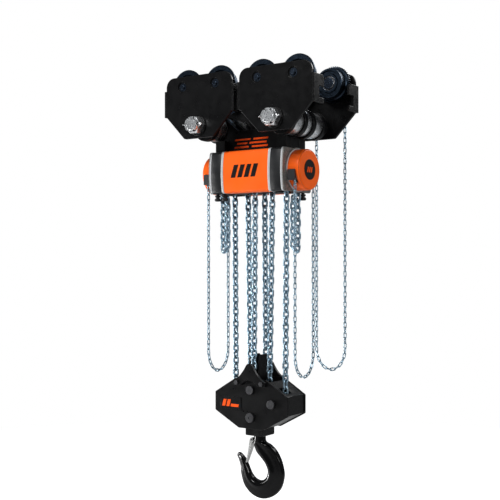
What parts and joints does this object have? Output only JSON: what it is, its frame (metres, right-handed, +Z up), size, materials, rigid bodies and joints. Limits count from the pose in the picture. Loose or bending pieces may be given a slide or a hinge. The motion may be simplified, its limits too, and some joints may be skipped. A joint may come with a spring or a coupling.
{
  "type": "hand chain hoist",
  "caption": "Low-headroom manual chain hoist with two beam trolleys, a shared housing, six load chain falls and a swivel hook block.",
  "frame": {"origin": "middle of the beam's lower flange, on its top face, where the trolley wheels run", "axes": "+X along the beam, +Y across it away from the hoist's front, +Z up"},
  "size_m": [0.852, 0.5965, 2.071],
  "materials": {
    "black_paint": "satin black enamel",
    "wheel_steel": "dark blue-grey steel with a rolled tread",
    "zinc_steel": "bright zinc plating",
    "dark_steel": "blackened steel",
    "machined_steel": "machined and oiled",
    "orange_paint": "glossy orange enamel",
    "band_black": "fine-textured black",
    "trim_grey": "light grey enamel",
    "cast_grey": "cast, lightly textured",
    "guide_grey": "mid grey",
    "chain_steel": "bluish zinc plating",
    "forged_black": "glossy black over a forged surface",
    "latch_steel": "zinc-plated pressed steel"
  },
  "bodies": {
    "hoist": {"left_front_side_plate": "black_paint", "left_back_side_plate": "black_paint", "right_front_side_plate": "black_paint", "right_back_side_plate": "black_paint", "anti_drop_brackets": "black_paint", "wheel_axles": "dark_steel", "axle_retainers": "dark_steel", "wheel_bearings": "machined_steel", "suspension_shafts": "zinc_steel", "castle_nuts": "zinc_steel", "cotter_pins": "zinc_steel", "shaft_spacers": "zinc_steel", "shaft_washers": "black_paint", "frame_plates": "black_paint", "frame_cross_members": "black_paint", "trolley_drive_housing": "black_paint", "body_front_cover": "orange_paint", "body_back_cover": "orange_paint", "body_bands": "band_black", "body_trims": "trim_grey", "body_plates": "band_black", "end_plates": "cast_grey", "hand_wheel_covers": "orange_paint", "chain_guides": "guide_grey", "chain_stops": "black_paint", "inner_plates": "black_paint", "idler_axles": "dark_steel", "hand_chains": "chain_steel", "tail_chains": "chain_steel"},
    "left_front_wheel_1": {"left_front_wheel_1": "wheel_steel"},
    "left_front_wheel_2": {"left_front_wheel_2": "wheel_steel"},
    "left_back_wheel_1": {"left_back_wheel_1": "wheel_steel"},
    "left_back_wheel_2": {"left_back_wheel_2": "wheel_steel"},
    "right_front_wheel_1": {"right_front_wheel_1": "wheel_steel"},
    "right_front_wheel_2": {"right_front_wheel_2": "wheel_steel"},
    "driven_wheel_1": {"driven_wheel_1": "wheel_steel"},
    "driven_wheel_2": {"driven_wheel_2": "wheel_steel"},
    "trolley_drive": {"trolley_pinion_shaft": "machined_steel", "trolley_hand_wheel": "cast_grey"},
    "left_hand_drive": {"left_hand_wheel": "cast_grey"},
    "right_hand_drive": {"right_hand_wheel": "cast_grey"},
    "left_lift_wheel": {"left_lift_wheel": "machined_steel"},
    "right_lift_wheel": {"right_lift_wheel": "machined_steel"},
    "left_layshaft": {"left_layshaft": "machined_steel"},
    "right_layshaft": {"right_layshaft": "machined_steel"},
    "left_upper_idler": {"left_upper_idler": "machined_steel"},
    "right_upper_idler": {"right_upper_idler": "machined_steel"},
    "hook_block": {"block_side_plates": "black_paint", "ear_brackets": "black_paint", "block_covers": "black_paint", "block_pins": "dark_steel", "chain_anchors": "black_paint", "crosshead": "black_paint", "lifting_chain": "chain_steel"},
    "left_block_sheave": {"left_block_sheave": "machined_steel"},
    "right_block_sheave": {"right_block_sheave": "machined_steel"},
    "hook": {"hook": "forged_black", "hook_nut": "dark_steel", "latch_pin": "dark_steel"},
    "hook_latch": {"hook_latch": "latch_steel"}
  },
  "joints": [
    {"name": "lift", "type": "slide", "parent": "hoist", "child": "hook_block", "axis": [0, 0, 1], "range_m": [-0.12, 0.05]},
    {"name": "hook_swivel", "type": "hinge", "parent": "hook_block", "child": "hook", "pos_m": [0, 0, -1.6], "axis": [0, 0, 1], "continuous": true},
    {"name": "latch", "type": "hinge", "parent": "hook", "child": "hook_latch", "pos_m": [-0.04, 0, -1.632], "axis": [0, -1, 0], "range_deg": [0, 28], "stiffness_Nm_per_rad": 2, "springref_deg": -20.05},
    {"name": "trolley_drive_spin", "type": "hinge", "parent": "hoist", "child": "trolley_drive", "pos_m": [0.218, 0, 0.0323], "axis": [0, 1, 0], "continuous": true},
    {"name": "left_lift_spin", "type": "hinge", "parent": "hoist", "child": "left_lift_wheel", "pos_m": [-0.184, 0, -0.345], "axis": [1, 0, 0], "range_deg": [-441.89, 191.22]},
    {"name": "left_layshaft_spin", "type": "hinge", "parent": "hoist", "child": "left_layshaft", "pos_m": [-0.14, 0, -0.3045], "axis": [1, 0, 0], "range_deg": [-669.29, 1546.63]},
    {"name": "left_hand_spin", "type": "hinge", "parent": "hoist", "child": "left_hand_drive", "pos_m": [-0.25, 0, -0.345], "axis": [1, 0, 0], "range_deg": [-5413.2, 2342.5]},
    {"name": "left_idler_spin", "type": "hinge", "parent": "hoist", "child": "left_upper_idler", "pos_m": [-0.045, 0.032, -0.345], "axis": [0, 1, 0], "range_deg": [-61.19, 141.41]},
    {"name": "left_sheave_spin", "type": "hinge", "parent": "hook_block", "child": "left_block_sheave", "pos_m": [-0.119, 0.03, -1.442], "axis": [0, 1, 0], "range_deg": [-314.24, 135.98]},
    {"name": "right_lift_spin", "type": "hinge", "parent": "hoist", "child": "right_lift_wheel", "pos_m": [0.184, 0, -0.345], "axis": [1, 0, 0], "range_deg": [-191.22, 441.89]},
    {"name": "right_layshaft_spin", "type": "hinge", "parent": "hoist", "child": "right_layshaft", "pos_m": [0.14, 0, -0.3045], "axis": [1, 0, 0], "range_deg": [-1546.63, 669.29]},
    {"name": "right_hand_spin", "type": "hinge", "parent": "hoist", "child": "right_hand_drive", "pos_m": [0.25, 0, -0.345], "axis": [1, 0, 0], "range_deg": [-2342.5, 5413.2]},
    {"name": "right_idler_spin", "type": "hinge", "parent": "hoist", "child": "right_upper_idler", "pos_m": [0.045, -0.032, -0.345], "axis": [0, 1, 0], "range_deg": [-141.41, 61.19]},
    {"name": "right_sheave_spin", "type": "hinge", "parent": "hook_block", "child": "right_block_sheave", "pos_m": [0.119, -0.03, -1.442], "axis": [0, 1, 0], "range_deg": [-135.98, 314.24]},
    {"name": "left_front_wheel_1_spin", "type": "hinge", "parent": "hoist", "child": "left_front_wheel_1", "pos_m": [-0.316, -0.135, 0.07], "axis": [0, 1, 0], "continuous": true},
    {"name": "left_front_wheel_2_spin", "type": "hinge", "parent": "hoist", "child": "left_front_wheel_2", "pos_m": [-0.12, -0.135, 0.07], "axis": [0, 1, 0], "continuous": true},
    {"name": "left_back_wheel_1_spin", "type": "hinge", "parent": "hoist", "child": "left_back_wheel_1", "pos_m": [-0.316, 0.135, 0.07], "axis": [0, 1, 0], "continuous": true},
    {"name": "left_back_wheel_2_spin", "type": "hinge", "parent": "hoist", "child": "left_back_wheel_2", "pos_m": [-0.12, 0.135, 0.07], "axis": [0, 1, 0], "continuous": true},
    {"name": "right_front_wheel_1_spin", "type": "hinge", "parent": "hoist", "child": "right_front_wheel_1", "pos_m": [0.12, -0.135, 0.07], "axis": [0, 1, 0], "continuous": true},
    {"name": "right_front_wheel_2_spin", "type": "hinge", "parent": "hoist", "child": "right_front_wheel_2", "pos_m": [0.316, -0.135, 0.07], "axis": [0, 1, 0], "continuous": true},
    {"name": "driven_wheel_1_spin", "type": "hinge", "parent": "hoist", "child": "driven_wheel_1", "pos_m": [0.12, 0.135, 0.07], "axis": [0, 1, 0], "continuous": true},
    {"name": "driven_wheel_2_spin", "type": "hinge", "parent": "hoist", "child": "driven_wheel_2", "pos_m": [0.316, 0.135, 0.07], "axis": [0, 1, 0], "continuous": true}
  ],
  "couplings": [
    {"joint": "left_idler_spin", "follows": "lift", "rad_per_m": -20},
    {"joint": "right_idler_spin", "follows": "lift", "rad_per_m": 20},
    {"joint": "left_sheave_spin", "follows": "lift", "rad_per_m": 44.444},
    {"joint": "right_sheave_spin", "follows": "lift", "rad_per_m": -44.444},
    {"joint": "left_lift_spin", "follows": "lift", "rad_per_m": 62.5},
    {"joint": "right_lift_spin", "follows": "lift", "rad_per_m": -62.5},
    {"joint": "left_layshaft_spin", "follows": "lift", "rad_per_m": -218.75},
    {"joint": "right_layshaft_spin", "follows": "lift", "rad_per_m": 218.75},
    {"joint": "left_hand_spin", "follows": "lift", "rad_per_m": 765.62},
    {"joint": "right_hand_spin", "follows": "lift", "rad_per_m": -765.62},
    {"joint": "driven_wheel_1_spin", "follows": "trolley_drive_spin", "ratio": -0.25},
    {"joint": "driven_wheel_2_spin", "follows": "trolley_drive_spin", "ratio": -0.25}
  ]
}
